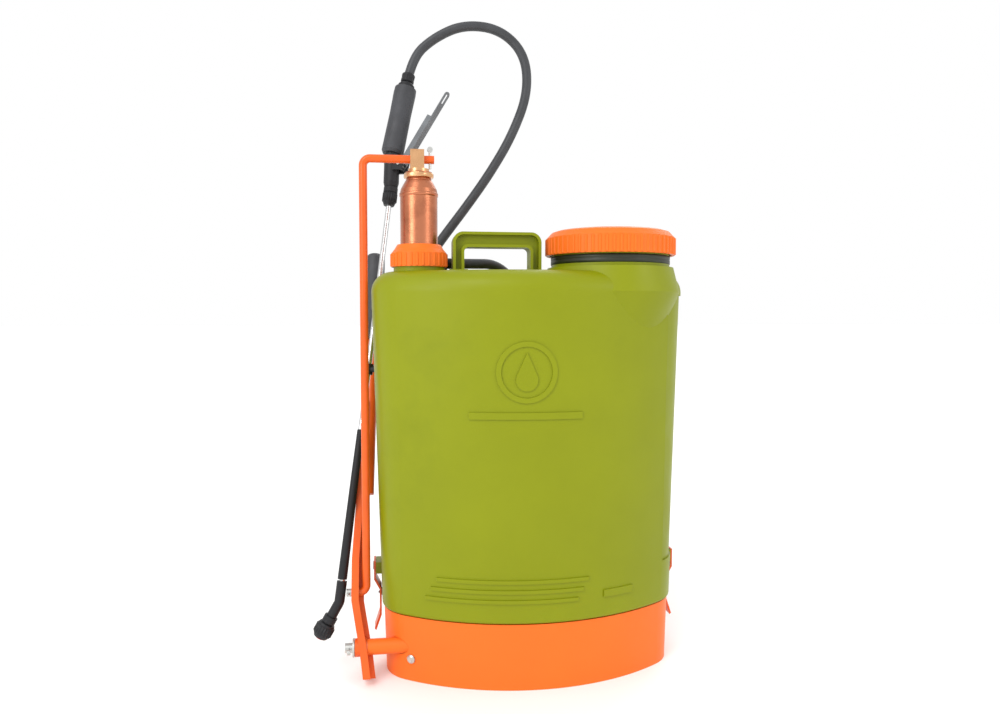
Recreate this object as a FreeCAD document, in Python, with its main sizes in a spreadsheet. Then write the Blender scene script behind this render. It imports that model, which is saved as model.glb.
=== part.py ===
"""Knapsack sprayer with a side lever, an outside air chamber and a hand lance.

Frame: X to the right of the outer face, +Y towards the wearer, +Z up, in millimetres.
The origin is the middle of the base's flat foot, under the middle of the tank.
"""
import FreeCAD, Part
import math
import os

import Sketcher
from FreeCAD import Placement, Rotation, Vector

DIMENSIONS = {
    # tank: plan outline at the floor, growing with height
    "half_width": 186, "front_depth": 84, "back_depth": 77, "front_arc": 285,
    "front_corner": 55, "back_corner": 48, "flare": 1.6, "wall": 3.5,
    "tank_low": 82, "tank_top": 503, "shoulder_round": 25, "hem_round": 4,
    "foot_low": 58, "foot_inset": 9.5,
    # base
    "base_height": 81, "base_inset": 2.5, "base_wall": 4, "seat_low": 54, "base_floor": 3.5,
    # filler
    "filler_x": 104, "filler_neck": 75, "filler_bore": 70, "filler_neck_top": 540.5,
    "filler_boss_low": 412, "filler_boss_start": 62, "filler_boss_mid": 478,
    "filler_boss_wide": 88, "filler_boss_top": 509,
    "cap_radius": 83, "cap_low": 524.5, "cap_top": 555.5, "cap_bore": 77.5,
    # pump
    "pump_x": -140, "chamber_radius": 23, "chamber_wall": 1.2, "chamber_top": 602,
    "pump_neck": 31.5, "pump_bore": 29.6, "pump_neck_top": 523,
    "pump_cap_radius": 35.3, "pump_cap_low": 508.5, "pump_cap_top": 536,
    "cylinder_radius": 29, "cylinder_bore": 27, "cylinder_low": 140, "piston_low": 244,
    "block_low": 625, "block_top": 652, "rod_height": 641,
    # lever
    "pivot_height": 41, "crank": 65.4, "lean": 22.5, "shaft_radius": 6,
    "rod_x": -208, "rod_radius": 5, "rod_bend": 9, "lever_tube": 8, "grip_radius": 14,
    # handle on the tank
    "handle_left": -98.8, "handle_right": 12.3, "handle_top": 552.5, "handle_depth": 26,
    "handle_bar": 19, "handle_leg": 14, "handle_rim": 3.5, "handle_foot": 506,
    # hose and lance
    "hose_radius": 6.6, "lance_radius": 3.6, "hand_grip": 15.4, "nozzle_radius": 11,
    # harness
    "strap_x": 62, "strap_width": 52, "pad_thick": 14, "webbing": 2.5,
}

doc = FreeCAD.newDocument("sprayer")
sheet = doc.addObject("Spreadsheet::Sheet", "size")
for row, (alias, number) in enumerate(DIMENSIONS.items(), start=1):
    sheet.set(f"A{row}", alias)
    sheet.set(f"B{row}", str(number))
    sheet.setAlias(f"B{row}", alias)
doc.recompute()
probe = doc.addObject("App::FeaturePython", "probe")
nodes = []


def value(text):
    """A number, or the present value of an expression on the sheet."""
    if isinstance(text, (int, float)):
        return float(text)
    return float(probe.evalExpression(text))


def place(piece, at=(0, 0, 0), rotation=None):
    """Turn a piece, then bind each coordinate of its place to the sheet."""
    turn = rotation or Rotation()
    piece.Placement = Placement(Vector(*(value(text) for text in at)), turn)
    for axis, text in zip("xyz", at):
        if isinstance(text, str):
            piece.setExpression(f"Placement.Base.{axis}", text)
    return piece


def along(direction):
    """The turn that takes +Z to a direction."""
    return Rotation(Vector(0, 0, 1), Vector(*direction))


def keep(piece, name):
    """Name a finished sub-part; its label names its file."""
    piece.Label = name
    nodes.append(piece)
    return piece


def set_sizes(piece, **sizes):
    for name, text in sizes.items():
        if isinstance(text, str):
            piece.setExpression(name, text)
        else:
            setattr(piece, name, text)
    return piece


def rod(radius, length, at=(0, 0, 0), rotation=None):
    piece = doc.addObject("Part::Cylinder", "rod")
    return place(set_sizes(piece, Radius=radius, Height=length), at, rotation)


def cone(low, high, length, at=(0, 0, 0), rotation=None):
    piece = doc.addObject("Part::Cone", "cone")
    return place(set_sizes(piece, Radius1=low, Radius2=high, Height=length), at, rotation)


def block(wide, deep, tall, at=(0, 0, 0), rotation=None):
    """A box whose own origin is its low corner."""
    piece = doc.addObject("Part::Box", "block")
    return place(set_sizes(piece, Length=wide, Width=deep, Height=tall), at, rotation)


def join(*pieces):
    fusion = doc.addObject("Part::MultiFuse", "join")
    fusion.Shapes = list(pieces)
    fusion.Refine = True
    return fusion


def cut(base, *tools):
    result = doc.addObject("Part::Cut", "cut")
    result.Base = base
    result.Tool = tools[0] if len(tools) == 1 else join(*tools)
    return result


def shared(first, second):
    result = doc.addObject("Part::Common", "shared")
    result.Base = first
    result.Tool = second
    return result


def plane_of(body, role):
    return next(item for item in body.Origin.OriginFeatures if item.Role == role)


def new_sketch(body, role, name, lift=0.0):
    sketch = body.newObject("Sketcher::SketchObject", name)
    sketch.AttachmentSupport = [(plane_of(body, role), "")]
    sketch.MapMode = "FlatFace"
    sketch.AttachmentOffset = Placement(Vector(0, 0, lift), Rotation())
    return sketch


def fix_point(sketch, edge, end, texts):
    """Hold one end of an edge at two sheet expressions or numbers."""
    for kind, text in zip(("DistanceX", "DistanceY"), texts):
        rule = Sketcher.Constraint(kind, -1, 1, edge, end, value(text))
        number = sketch.addConstraint(rule)
        if isinstance(text, str):
            sketch.setExpression(f"Constraints[{number}]", text)


def polygon(sketch, corners):
    """A closed outline of straight edges through the corners."""
    points = [Vector(value(x), value(y), 0) for x, y in corners]
    for index, point in enumerate(points):
        sketch.addGeometry(Part.LineSegment(point, points[(index + 1) % len(points)]))
    for index in range(len(points)):
        after = (index + 1) % len(points)
        sketch.addConstraint(Sketcher.Constraint("Coincident", index, 2, after, 1))
    for index, corner in enumerate(corners):
        fix_point(sketch, index, 1, corner)


def turned(profile, at=(0, 0, 0), rotation=None):
    """A piece turned about its own Z from corners given as radius and height."""
    body = doc.addObject("PartDesign::Body", "turned")
    sketch = new_sketch(body, "XZ_Plane", "profile")
    polygon(sketch, profile)
    spin = body.newObject("PartDesign::Revolution", "spin")
    spin.Profile = sketch
    spin.ReferenceAxis = (sketch, ["V_Axis"])
    spin.Angle = 360
    return place(body, at, rotation)


def extruded(corners, thick, role="XZ_Plane", at=(0, 0, 0), rotation=None, middle=True):
    """A flat piece: its outline in a plane and its thickness across the plane."""
    body = doc.addObject("PartDesign::Body", "flat")
    sketch = new_sketch(body, role, "outline")
    polygon(sketch, corners)
    pad = body.newObject("PartDesign::Pad", "pad")
    pad.Profile = sketch
    pad.Midplane = middle
    set_sizes(pad, Length=thick)
    return place(body, at, rotation)


def ring(outer, inner, low, high):
    """Corners of a plain collar."""
    return [(inner, low), (outer, low), (outer, high), (inner, high)]


def path_wire(points, bend=None):
    """Straight runs joined by tangent arcs; a free route takes the largest arcs that fit."""
    corners = [Vector(*point) for point in points]
    edges = []
    radii = []
    start = corners[0]
    for before, corner, after in zip(corners, corners[1:], corners[2:]):
        arrive = (corner - before).normalize()
        leave = (after - corner).normalize()
        half = arrive.getAngle(leave) / 2
        shorter = min((corner - before).Length, (after - corner).Length)
        radius = bend or 0.45 * shorter / math.tan(half)
        radii.append(radius)
        reach = radius * math.tan(half)
        first = corner - arrive * reach
        last = corner + leave * reach
        inward = (leave - arrive).normalize()
        middle = corner + inward * (radius / math.cos(half) - radius)
        if (first - start).Length > 1e-6:
            edges.append(Part.LineSegment(start, first).toShape())
        edges.append(Part.Arc(first, middle, last).toShape())
        start = last
    edges.append(Part.LineSegment(start, corners[-1]).toShape())
    return Part.Wire(edges), radii


def tube(points, radius, bend=None, bore=0.0):
    """A round bar, or a tube with a bore, along a path of runs and arcs."""
    wire, radii = path_wire(points, bend)
    direction = Vector(*points[1]) - Vector(*points[0])

    def sweep(size):
        circle = Part.Circle(Vector(*points[0]), direction, size).toShape()
        return wire.makePipeShell([Part.Wire([circle])], True, False)

    solid = sweep(radius)
    if bore:
        solid = solid.cut(sweep(bore))
    piece = doc.addObject("Part::Feature", "tube")
    piece.Shape = solid
    return piece, wire, radii


# ------------------------------------------------------------------ tank and base
def plan_sketch(body, height, inset, name):
    """Tank outline at one height: bowed front, round corners, straight sides and back."""
    grow = f"tan(size.flare) * ({height}) - ({inset})"
    texts = {
        "half": f"size.half_width + {grow}",
        "front": f"size.front_depth + {grow}",
        "back": f"size.back_depth + {grow}",
        "bow": f"size.front_arc + {grow}",
        "corner": f"size.front_corner + {grow}",
        "rear": f"size.back_corner + {grow}",
    }
    half, front, back, bow, corner, rear = (value(text) for text in texts.values())
    middle = bow - front
    side = half - corner
    cheek = middle - math.sqrt((bow - corner) ** 2 - side ** 2)
    spread = math.atan2(cheek - middle, side)
    left = math.pi - spread
    axis = Vector(0, 0, 1)

    def arc(x, y, radius, start, end):
        return Part.ArcOfCircle(Part.Circle(Vector(x, y, 0), axis, radius), start, end)

    def line(x0, y0, x1, y1):
        return Part.LineSegment(Vector(x0, y0, 0), Vector(x1, y1, 0))

    sketch = new_sketch(body, "XY_Plane", name, value(height))
    sketch.addGeometry([
        arc(0, middle, bow, -math.pi - spread, spread),
        arc(side, cheek, corner, spread, 0),
        line(half, cheek, half, back - rear),
        arc(half - rear, back - rear, rear, 0, math.pi / 2),
        line(half - rear, back, rear - half, back),
        arc(rear - half, back - rear, rear, math.pi / 2, math.pi),
        line(-half, back - rear, -half, cheek),
        arc(-side, cheek, corner, math.pi, left),
    ])
    count = 8
    for edge in range(count):
        sketch.addConstraint(Sketcher.Constraint("Tangent", edge, 2, (edge + 1) % count, 1))
    for edge, text in ((0, "bow"), (1, "corner"), (7, "corner"), (3, "rear"), (5, "rear")):
        number = sketch.addConstraint(Sketcher.Constraint("Radius", edge, value(texts[text])))
        sketch.setExpression(f"Constraints[{number}]", texts[text])
    sketch.addConstraint(Sketcher.Constraint("Vertical", 2))
    sketch.addConstraint(Sketcher.Constraint("Vertical", 6))
    sketch.addConstraint(Sketcher.Constraint("Horizontal", 4))
    held = (
        ("DistanceX", 2, 1, texts["half"]),
        ("DistanceX", 6, 1, f"-({texts['half']})"),
        ("DistanceY", 4, 1, texts["back"]),
        ("DistanceX", 0, 3, "0"),
        ("DistanceY", 0, 3, f"({texts['bow']}) - ({texts['front']})"),
    )
    for kind, edge, end, text in held:
        rule = Sketcher.Constraint(kind, -1, 1, edge, end, value(text))
        number = sketch.addConstraint(rule)
        sketch.setExpression(f"Constraints[{number}]", text)
    return sketch


def edges_at(shape, height):
    """Names of the edges that lie flat at one height."""
    found = []
    for number, edge in enumerate(shape.Edges, start=1):
        bounds = edge.BoundBox
        if abs(bounds.ZMin - height) < 0.01 and abs(bounds.ZMax - height) < 0.01:
            found.append(f"Edge{number}")
    return found


def hull(low, high, inset="0", top_round=None, low_round=None):
    """A closed body between two heights, the tank's outline drawn in by the inset."""
    body = doc.addObject("PartDesign::Body", "hull")
    pad = body.newObject("PartDesign::Pad", "pad")
    pad.Profile = plan_sketch(body, low, inset, "plan")
    set_sizes(pad, Length=f"({high}) - ({low})", TaperAngle="size.flare")
    tip = pad
    for height, radius in ((high, top_round), (low, low_round)):
        if radius:
            doc.recompute()
            fillet = body.newObject("PartDesign::Fillet", "fillet")
            fillet.Base = (tip, edges_at(tip.Shape, value(height)))
            set_sizes(fillet, Radius=radius)
            tip = fillet
    body.Tip = tip
    return body


def raised(outline, height):
    """Emboss an outline, drawn in XZ, on the bowed front face."""
    skin = hull("100", "470", f"-{height}")
    return shared(outline, skin)


def make_tank():
    outside = hull("size.tank_low", "size.tank_top", "0",
                   "size.shoulder_round", "size.hem_round")
    recess = cut(block(60, 92, 338, (166, -72, 136)),
                 hull("120", "490", "2"))
    outside = cut(outside, recess)
    foot = hull("size.foot_low", "92", "size.foot_inset")
    boss_rise = cone("size.filler_boss_start", "size.filler_boss_wide",
                     "size.filler_boss_mid - size.filler_boss_low",
                     ("size.filler_x", 0, "size.filler_boss_low"))
    boss = cone("size.filler_boss_wide", "size.filler_neck + 5",
                "size.filler_boss_top - size.filler_boss_mid",
                ("size.filler_x", 0, "size.filler_boss_mid"))
    filler = rod("size.filler_neck", "size.filler_neck_top - 480", ("size.filler_x", 0, 480))
    pump = rod("size.pump_neck", "size.pump_neck_top - 480", ("size.pump_x", 0, 480))
    pads = [block("size.handle_leg + 8", "size.handle_depth + 8", 12, (x, -17, 494))
            for x in ("size.handle_left - 4", "size.handle_right - size.handle_leg - 4")]
    lugs = [block(17.5, 26, 15, (x, 18, 118)) for x in (179, -196.5)]
    ribs = []
    for step in range(3):
        left = -124 - 6.5 * step
        ribs.append(block(182, 80, 4.5, (left, -120, 131.5 - 12 * step)))
    emblem_turn = Rotation(Vector(1, 0, 0), 90)
    badge = cut(rod(36, 80, (-20, -40, 383), emblem_turn), rod(30, 90, (-20, -38, 383), emblem_turn))
    drop = join(rod(13, 80, (-20, -40, 374), emblem_turn),
                extruded([(-11.8, 5.6), (11.8, 5.6), (0, 32)], 80, at=(-20, -80, 374)))
    plain_bars = [block(134, 80, 8, (-87, -120, 328)), block(40, 80, 9, (78, -120, 108))]
    figures = raised(join(badge, drop, *ribs, *plain_bars), "1.6")
    solid = join(outside, foot, boss_rise, boss, filler, pump, *pads, *lugs, figures)
    room = cut(hull("size.tank_low + size.wall", "size.tank_top - size.wall", "size.wall",
                    "size.shoulder_round - size.wall"),
               block(40, 120, 352, (164, -80, 129)))
    room_side = shared(hull("110", "485", "2 + size.wall"), block(60, 122, 356, (160, -81, 127)))
    foot_room = hull("size.foot_low + size.wall", "96", "size.foot_inset + size.wall")
    boss_room = cone("size.filler_boss_wide - size.wall - 3", "size.filler_bore",
                     "size.filler_boss_top - size.filler_boss_mid - 4",
                     ("size.filler_x", 0, "size.filler_boss_mid"))
    mouth = rod("size.filler_bore", 90, ("size.filler_x", 0, 480))
    throat = rod("size.pump_bore", 90, ("size.pump_x", 0, 480))
    outlet = rod(7.2, 30, (-118, 55, 490))
    bolt_holes = [rod(3.1, 20, (x, 31, 125.5), along((1, 0, 0))) for x in (187.4, -207.4)]
    keep(cut(solid, room, room_side, foot_room, boss_room, mouth, throat, outlet, *bolt_holes),
         "tank_shell")


def make_base():
    skirt = hull("0", "size.base_height", "size.base_inset")
    under = hull("size.base_floor", "size.seat_low", "size.base_inset + size.base_wall")
    pocket = hull("size.foot_low", "90", "size.foot_inset - 1")
    shaft_hole = rod(10.2, 60, (-200, PIVOT_Y, "size.pivot_height"), along((1, 0, 0)))
    screw_hole = rod(2.7, 10, (-118, PIVOT_Y, "size.seat_low - 1"))
    outward, head = skirt_screw_place()
    shank_hole = rod(2.5, 30, tuple(head - outward * 28), along(tuple(outward)))
    keep(cut(skirt, under, pocket, shaft_hole, screw_hole, shank_hole), "base_skirt")


def skirt_screw_place():
    """Where the skirt's screw sits on the front corner, and which way its head faces."""
    level = 28
    outward = Vector(-0.5418, -0.8405, 0).normalize()
    centre = Vector(0, value("size.front_arc - size.front_depth"), level)
    radius = value(f"size.front_arc + tan(size.flare) * {level} - size.base_inset")
    return outward, centre + outward * (radius + 0.25)


PIVOT_Y = "-size.crank * sin(size.lean)"
CRANK_Z = "size.pivot_height + size.crank * cos(size.lean)"


def make_carry_handle():
    """An I-section grip: a thin web between an outer and an inner rim."""
    def arch(grow, thick, corner):
        body = extruded([
            (f"size.handle_left - {grow}", 503), (f"size.handle_right + {grow}", 503),
            (f"size.handle_right + {grow}", f"size.handle_top + {grow}"),
            (f"size.handle_left - {grow}", f"size.handle_top + {grow}")], thick)
        doc.recompute()
        pad = body.Tip
        fillet = body.newObject("PartDesign::Fillet", "corner")
        top = value(f"size.handle_top + {grow}")
        names = []
        for number, edge in enumerate(pad.Shape.Edges, start=1):
            bounds = edge.BoundBox
            if abs(bounds.ZMin - top) < 0.01 and bounds.YLength > 1 and bounds.XLength < 0.01:
                names.append(f"Edge{number}")
        fillet.Base = (pad, names)
        fillet.Radius = corner
        body.Tip = fillet
        return body

    def window(shrink, thick, corner):
        """The finger gap, made as an arch that stops a bar's height below the top."""
        opening = arch(f"(-size.handle_leg + {shrink})", thick, corner)
        opening.Placement = Placement(Vector(0, 0, 0), Rotation())
        opening.setExpression("Placement.Base.z", "size.handle_leg - size.handle_bar")
        return opening

    web = cut(arch("0", 9, 13), window("0", 40, 6))
    outer_rim = cut(arch("0", "size.handle_depth", 13), arch("(-size.handle_rim)", 40, 10))
    inner_rim = cut(window("size.handle_rim", "size.handle_depth", 8), window("0", 40, 6))
    keep(cut(join(web, outer_rim, inner_rim),
             block(200, 60, 40, (-150, -30, "size.handle_foot - 40"))), "carry_handle")


# ------------------------------------------------------------------ filler
def make_filler():
    at = ("size.filler_x", 0, 0)
    ridges = 60
    cap = turned([
        ("size.cap_bore", "size.cap_low"), ("size.cap_radius - 1.5", "size.cap_low"),
        ("size.cap_radius - 1.5", "size.cap_top - 9"), ("size.cap_radius - 8", "size.cap_top - 2"),
        ("size.cap_radius - 14", "size.cap_top"), ("size.cap_radius - 22", "size.cap_top"),
        ("size.cap_radius - 24", "size.cap_top - 3"), (6, "size.cap_top - 3"),
        (6, "size.cap_top - 7"), ("size.cap_bore", "size.cap_top - 7")], at)
    grips = []
    for step in range(ridges):
        angle = 360.0 * step / ridges
        turn = Rotation(Vector(0, 0, 1), angle)
        reach = turn.multVec(Vector(1, 0, 0))
        x = f"size.filler_x + (size.cap_radius - 2) * {reach.x:.6f}"
        y = f"(size.cap_radius - 2) * {reach.y:.6f}"
        grips.append(rod(2.0, "size.cap_top - 9 - size.cap_low - 2", (x, y, "size.cap_low + 1")))
    keep(join(cap, *grips), "filler_cap")
    keep(turned([(6.2, "size.cap_top - 8.5"), (9, "size.cap_top - 8.5"), (9, "size.cap_top - 7"),
                 (5.8, "size.cap_top - 7"), (5.8, "size.cap_top - 3"), (9, "size.cap_top - 3"),
                 (8, "size.cap_top + 0.5"), (0, "size.cap_top + 0.5"), (0, "size.cap_top - 6"),
                 (4, "size.cap_top - 6"), (4, "size.cap_top - 9.5"), (6.2, "size.cap_top - 9.5")],
                at), "cap_vent")
    keep(turned(ring("size.cap_bore - 0.3", 66, "size.filler_neck_top + 2.2",
                     "size.cap_top - 7.3"), at), "filler_gasket")
    strainer = cut(
        turned([(0, 455), (62, 455), (64, "size.filler_neck_top"), (74.5, "size.filler_neck_top"),
                (74.5, "size.filler_neck_top + 1.8"), (62.2, "size.filler_neck_top + 1.8"),
                (60.2, 457), (0, 457)], at),
        *[rod(3, 5, (f"size.filler_x + {14 + 12 * circle} * {math.cos(angle):.6f}",
                     f"{14 + 12 * circle} * {math.sin(angle):.6f}", 454))
          for circle in range(4)
          for angle in (2 * math.pi * step / (8 + 5 * circle) for step in range(8 + 5 * circle))])
    keep(strainer, "filler_strainer")


# ------------------------------------------------------------------ pump
def make_pump():
    at = ("size.pump_x", 0, 0)
    radius = "size.chamber_radius"
    cap = turned([
        (31.8, "size.pump_cap_low"), ("size.pump_cap_radius - 1", "size.pump_cap_low"),
        ("size.pump_cap_radius - 1", "size.pump_cap_low + 17"),
        ("size.pump_cap_radius - 5", "size.pump_cap_low + 22"),
        (f"{radius} + 4", "size.pump_cap_top"), (f"{radius} + 0.5", "size.pump_cap_top"),
        (f"{radius} + 0.5", "size.pump_cap_top - 3"), (f"{radius} + 4", "size.pump_cap_top - 3"),
        (f"{radius} + 4", "size.pump_neck_top + 5.2"), (31.8, "size.pump_neck_top + 5.2")], at)
    ridges = 30
    grips = []
    for step in range(ridges):
        angle = 2 * math.pi * step / ridges
        x = f"size.pump_x + (size.pump_cap_radius - 1.3) * {math.cos(angle):.6f}"
        y = f"(size.pump_cap_radius - 1.3) * {math.sin(angle):.6f}"
        grips.append(rod(1.6, 15, (x, y, "size.pump_cap_low + 1")))
    keep(join(cap, *grips), "pump_cap")
    keep(turned(ring("size.pump_neck", "size.cylinder_radius + 0.2", "size.pump_neck_top",
                     "size.pump_neck_top + 2"), at), "pump_gasket")
    keep(turned([
        ("size.cylinder_bore", "size.cylinder_low"), ("size.cylinder_radius", "size.cylinder_low"),
        ("size.cylinder_radius", "size.pump_neck_top + 2"),
        ("size.pump_neck", "size.pump_neck_top + 2"), ("size.pump_neck", "size.pump_neck_top + 5"),
        ("size.cylinder_bore", "size.pump_neck_top + 5")], at), "pump_cylinder")
    keep(turned(ring(f"{radius} + 3.9", f"{radius} + 0.05", "size.pump_neck_top + 5.3",
                     "size.pump_cap_top - 3.1"), at), "gland_seal")
    keep(cut(turned([
        (0, "size.cylinder_low - 14"), (31, "size.cylinder_low - 14"),
        (31, "size.cylinder_low + 12"), ("size.cylinder_radius", "size.cylinder_low + 12"),
        ("size.cylinder_radius", "size.cylinder_low"), (12, "size.cylinder_low"),
        (12, "size.cylinder_low - 9"), (0, "size.cylinder_low - 9")], at),
        rod(6, 20, ("size.pump_x", 0, "size.cylinder_low - 16"))), "inlet_valve_seat")
    keep(place(set_sizes(doc.addObject("Part::Sphere", "ball"), Radius=7.5),
               ("size.pump_x", 0, "size.cylinder_low - 4.2")), "inlet_ball")
    slots = [block(60, 3, 16, ("size.pump_x", -1.5, "size.cylinder_low - 34"),
                   Rotation(Vector(0, 0, 1), 45 * step)) for step in range(8)]
    keep(cut(turned([
        (0, "size.cylinder_low - 40"), (27, "size.cylinder_low - 40"),
        (27, "size.cylinder_low - 14"), (25, "size.cylinder_low - 14"),
        (25, "size.cylinder_low - 38"), (0, "size.cylinder_low - 38")], at), *slots),
        "foot_strainer")
    # the plunger: air chamber, piston head and the block that the link rod turns in
    keep(turned([
        (f"{radius} - size.chamber_wall", "size.piston_low + 10"), (radius, "size.piston_low + 10"),
        (radius, "size.chamber_top - 2"), (f"{radius} - 0.8", "size.chamber_top + 2"),
        (f"{radius} - 4.5", "size.chamber_top + 9"), (16, "size.chamber_top + 13"),
        (15, "size.chamber_top + 16"), (15, "size.block_low - 3"), (16.5, "size.block_low - 3"),
        (16.5, "size.block_low"), (9, "size.block_low"), (9, "size.chamber_top + 12"),
        (16, "size.chamber_top + 6"), (f"{radius} - size.chamber_wall", "size.chamber_top - 3")],
        at), "air_chamber")
    keep(cut(join(
        turned([(0, "size.block_low"), (13, "size.block_low"), (13, "size.block_low + 4"),
                (0, "size.block_low + 4")], at),
        block(17, 20, "size.block_top - size.block_low - 3",
              ("size.pump_x - 10.5", -10, "size.block_low + 3"))),
        rod("size.rod_radius + 0.05", 40, ("size.pump_x - 20", 0, "size.rod_height"),
            along((1, 0, 0)))), "top_block")
    keep(turned([
        (5, "size.piston_low"), (f"size.cylinder_bore - 1", "size.piston_low"),
        ("size.cylinder_bore - 1", "size.piston_low + 4"), (18, "size.piston_low + 4"),
        (18, "size.piston_low + 10"), (f"{radius}", "size.piston_low + 10"),
        (f"{radius}", "size.piston_low + 9.9"), (f"{radius} + 1", "size.piston_low + 9.9"),
        (f"{radius} + 1", "size.piston_low + 10"), (20, "size.piston_low + 10"),
        (20, "size.piston_low + 18"), (5, "size.piston_low + 18")][:5] + [
        (f"{radius} - size.chamber_wall - 0.1", "size.piston_low + 10"),
        (f"{radius} - size.chamber_wall - 0.1", "size.piston_low + 22"),
        (5, "size.piston_low + 22")], at), "piston")
    keep(turned([
        (18.1, "size.piston_low + 4.1"), ("size.cylinder_bore - 0.05", "size.piston_low + 4.1"),
        ("size.cylinder_bore - 0.05", "size.piston_low + 9.8"), (18.1, "size.piston_low + 9.8")],
        at), "piston_cup")
    keep(join(rod(1.6, 24.5, (-126, 0, "size.rod_height - 11.5")),
              rod(3.4, 4, (-126, -2, "size.rod_height + 12.5"), along((0, 1, 0)))),
         "rod_split_pin")


def make_link_rod():
    """One bent bar: through the top block, down beside the tank, and in at the lever."""
    level = value("size.rod_height")
    low = value(CRANK_Z)
    x = value("size.rod_x")
    piece, _, _ = tube([(-121, 0, level), (x, 0, level), (x, 0, low), (x - 9.2, 0, low)],
                       value("size.rod_radius"), value("size.rod_bend"))
    solid = piece.Shape
    hole = Part.makeCylinder(1.8, 20, Vector(-126, 0, level - 10))
    piece.Shape = solid.cut(hole)
    keep(piece, "link_rod")


# ------------------------------------------------------------------ lever
# Left edge of the pressed channel: distance along the lever from the pivot, then X.
CHANNEL_LINE = ((-37, -212.0), (-5, -216.0), (20, -220.5), (55, -226.5), (104, -226.3),
                (153, -223.0), (205, -219.2), (258, -216.8), (313, -214.8))


def make_lever():
    turn = Rotation(Vector(1, 0, 0), -value("size.lean"))
    pivot = (0, PIVOT_Y, "size.pivot_height")
    slope_x = 0.0300
    tube_start = 188
    tube_x = -206.8

    def strip(width, across, thick):
        right = [(x + width, r) for r, x in reversed(CHANNEL_LINE)]
        outline = [(x, r) for r, x in CHANNEL_LINE] + right
        body = extruded(outline, thick)
        home = Placement(Vector(0, value(PIVOT_Y), value("size.pivot_height")), turn)
        body.Placement = home.multiply(Placement(Vector(0, across, 0), Rotation()))
        return body

    def local(x, across, r):
        """A point given in the lever's own frame, in the part's frame."""
        point = turn.multVec(Vector(0, across, r))
        return (x, value(PIVOT_Y) + point.y, value("size.pivot_height") + point.z)

    across_x = along((1, 0, 0))
    hub = rod(11, 14.5, (-222, PIVOT_Y, "size.pivot_height"), across_x)
    bore = rod("size.shaft_radius + 0.05", 60, (-240, PIVOT_Y, "size.pivot_height"), across_x)
    pin_hole = rod(5.05, 30, (-235, 0, CRANK_Z), across_x)
    channel = join(strip(3, 0, 22.2), strip(9, -9.6, 3), strip(15, 9.6, 3), hub)
    collar_room = rod(9.9, 20, (-207.2, PIVOT_Y, "size.pivot_height"), across_x)
    keep(cut(channel, bore, pin_hole, collar_room), "lever_channel")
    keep(cut(rod(5, 15.4, (-232.8, 0, CRANK_Z), across_x),
             rod(1.5, 20, (-229.8, -10, CRANK_Z), along((0, 1, 0)))), "crank_pin")
    keep(rod(1.4, 20, (-229.8, -12, CRANK_Z), along((0, 1, 0))), "crank_split_pin")
    direction = turn.multVec(Vector(slope_x, 0, 1))
    axis = (direction.x, direction.y, direction.z)

    def on_tube(r):
        return local(tube_x + slope_x * (r - tube_start), 0, r)

    stretch = math.sqrt(1 + slope_x ** 2)
    keep(rod("size.lever_tube", (528 - tube_start) * stretch, on_tube(tube_start), along(axis)),
         "lever_tube")
    keep(turned([("size.lever_tube + 0.1", 0), ("size.grip_radius - 1.5", 0),
                 ("size.grip_radius", 3), ("size.grip_radius", 126),
                 ("size.grip_radius - 3", 131), (0, 131), (0, 129),
                 ("size.lever_tube + 0.1", 129)], on_tube(403), along(axis)), "lever_grip")


def make_pivot():
    across_x = along((1, 0, 0))
    line = (PIVOT_Y, "size.pivot_height")
    keep(cut(rod("size.shaft_radius", 110, (-234, *line), across_x),
             rod(1.7, 20, (-229, f"{PIVOT_Y} - 10", "size.pivot_height"), along((0, 1, 0)))),
         "pivot_shaft")
    keep(turned(ring(9.6, "size.shaft_radius + 0.1", 0, 56), (-206.9, *line), across_x),
         "shaft_sleeve")
    keep(turned(ring(11.5, "size.shaft_radius + 0.1", 0, 2), (-224.6, *line), across_x),
         "pivot_washer")
    keep(join(rod(1.6, 24, (-229, f"{PIVOT_Y} - 12", "size.pivot_height"), along((0, 1, 0))),
              rod(3.2, 4, (-231, f"{PIVOT_Y} - 14", "size.pivot_height"), across_x)),
         "pivot_split_pin")
    keep(cut(join(block(5, 34, "size.seat_low - 22", (-134, f"{PIVOT_Y} - 12", 22)),
                  block(26, 34, 4, (-134, f"{PIVOT_Y} - 12", "size.seat_low - 4"))),
             rod("size.shaft_radius + 0.1", 20, (-140, *line), across_x),
             rod(2.7, 10, (-118, PIVOT_Y, "size.seat_low - 6"))), "shaft_bracket")
    keep(join(rod(2.6, 8, (-118, PIVOT_Y, "size.seat_low - 4.2")),
              rod(5.5, 3, (-118, PIVOT_Y, "size.seat_low - 7.1"))), "bracket_screw")
    outward, head = skirt_screw_place()
    axis = (outward.x, outward.y, 0)
    screw = cut(turned([(0, -9), (2.4, -9), (2.4, 0), (5.4, 0), (5.4, 1.6), (3.6, 3.2), (0, 3.2)],
                       tuple(head), along(axis)),
                block(8, 1.2, 3, tuple(head + outward * 2.0 - Vector(4, 0.6, 0)), along(axis)))
    keep(screw, "skirt_screw")


# ------------------------------------------------------------------ outlet and hose
# The hose's route, first at the outlet and last in the hand valve's nut.
HOSE_ROUTE = (
    (-96, 55, 517), (-66, 55, 517), (-36, 69, 518), (-8, 97, 500), (10, 106, 462),
    (12, 107, 414), (-8, 108, 370), (-50, 108, 342), (-98, 108, 348), (-134, 109, 380),
    (-148, 111, 428), (-146, 115, 478), (-127, 121, 522), (-100, 127, 560), (-68, 131, 602),
    (-34, 134, 650), (-2, 138, 704), (22, 142, 766), (18, 145, 822), (-18, 147, 856),
    (-70, 148, 860), (-112, 150, 840), (-142.3, 149.7, 811.1), (-150.2, 141.9, 772.7),
)


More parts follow.
